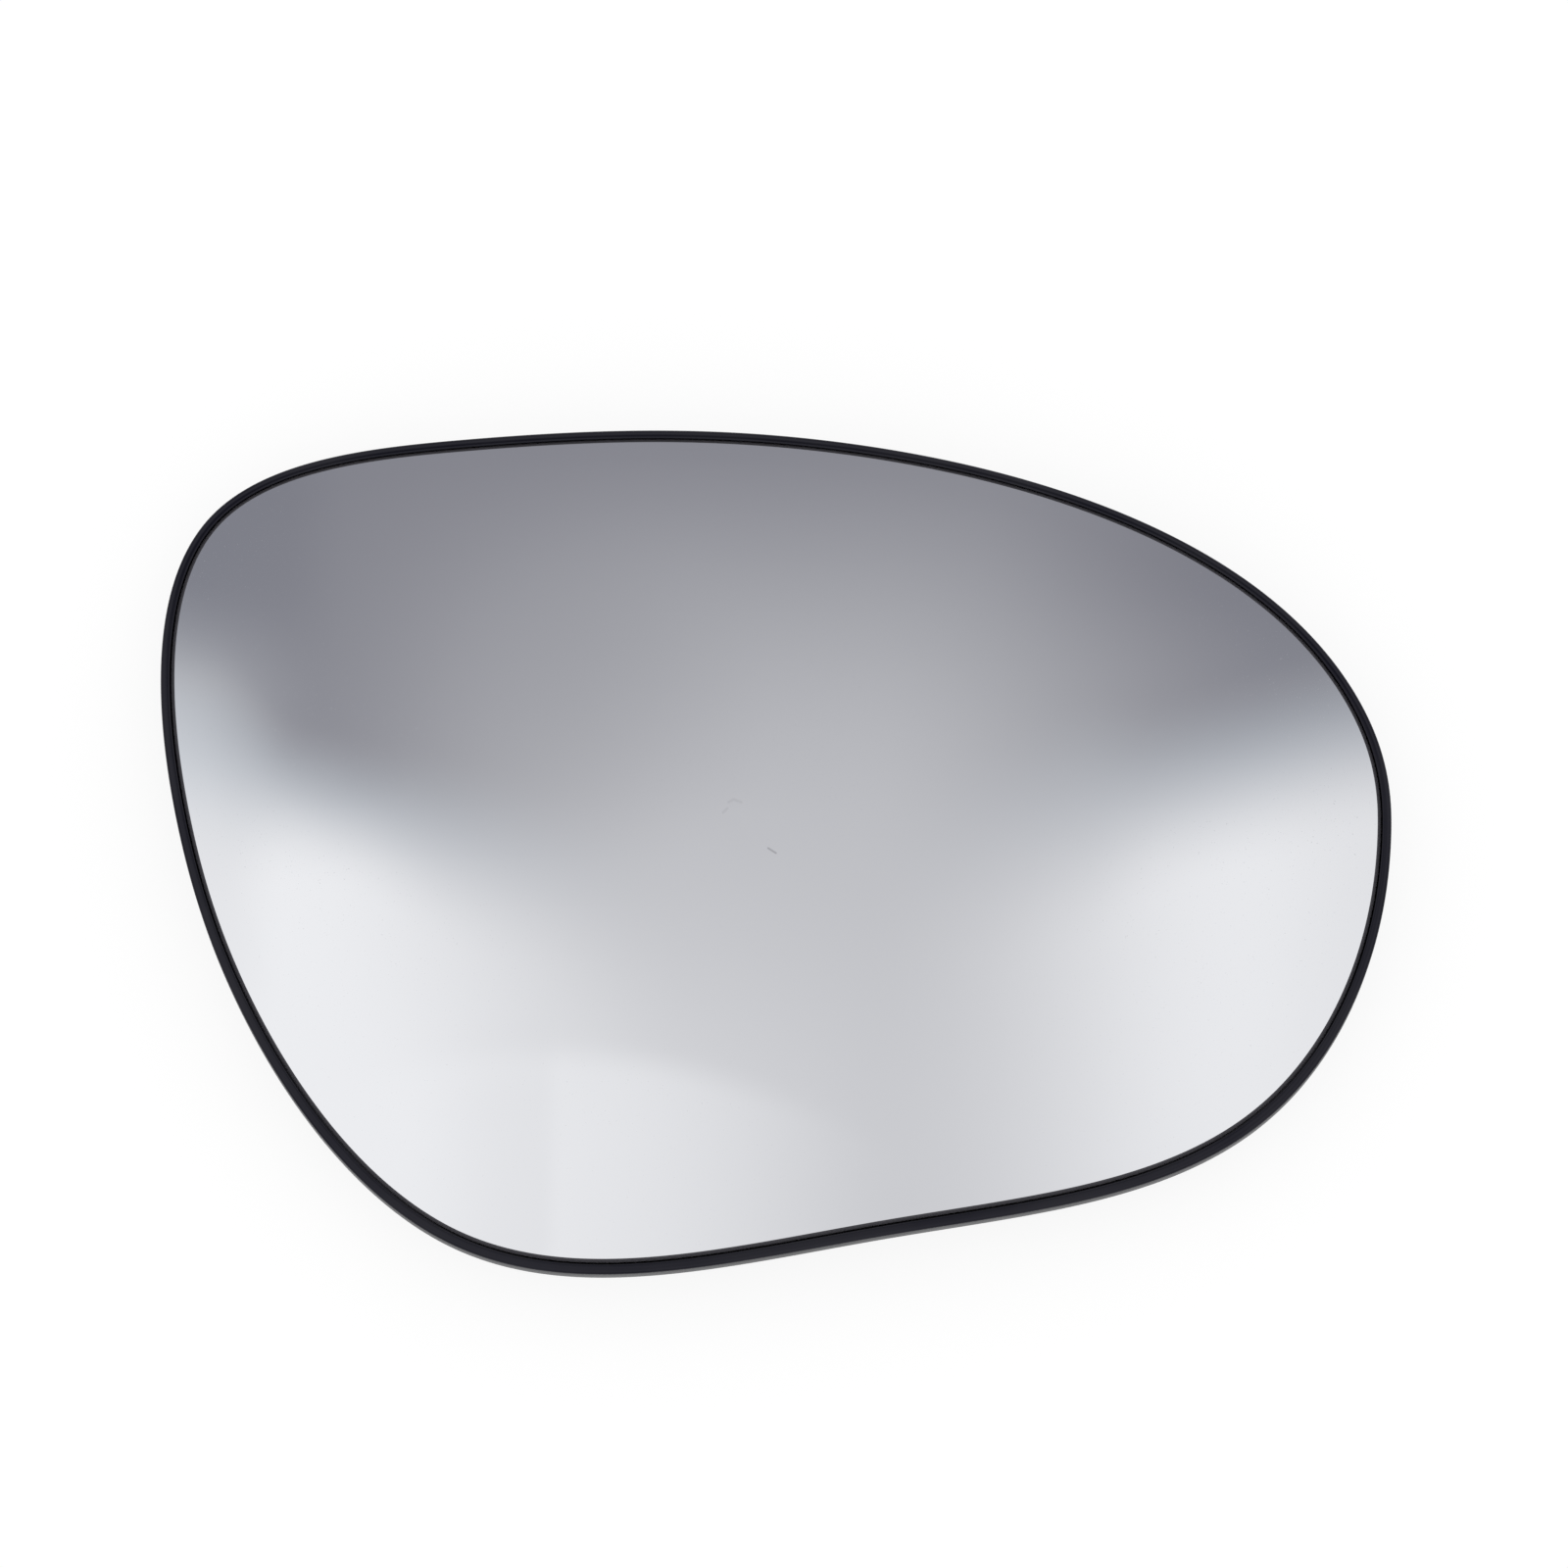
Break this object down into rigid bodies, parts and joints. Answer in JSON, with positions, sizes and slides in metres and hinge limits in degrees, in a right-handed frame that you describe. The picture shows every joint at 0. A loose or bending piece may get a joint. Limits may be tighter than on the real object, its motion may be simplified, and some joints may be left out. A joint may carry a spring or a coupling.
{
  "type": "car door mirror glass",
  "caption": "Convex heated mirror pane of rounded, tapering outline, bonded in a slim black rim on a ribbed backing plate with a ring of clip claws.",
  "frame": {"origin": "on the clip ring's axis, in the plane of the ring's free end, on which the part lies with its glass up", "axes": "+Z out of the glass along the ring's axis, +X to the right and +Y up as the glass is looked at"},
  "size_m": [0.1778, 0.1229, 0.0146],
  "materials": {
    "silvered_glass": "polished glass, silvered behind",
    "heater_foil": "polyester film with printed heating tracks",
    "tinned_brass": "tinned, stamped",
    "black_plastic": "satin moulded"
  },
  "bodies": {
    "root": {"mirror_glass": "silvered_glass", "heater_pad": "heater_foil", "heater_terminals": "tinned_brass", "backing_plate": "black_plastic"}
  },
  "joints": []
}
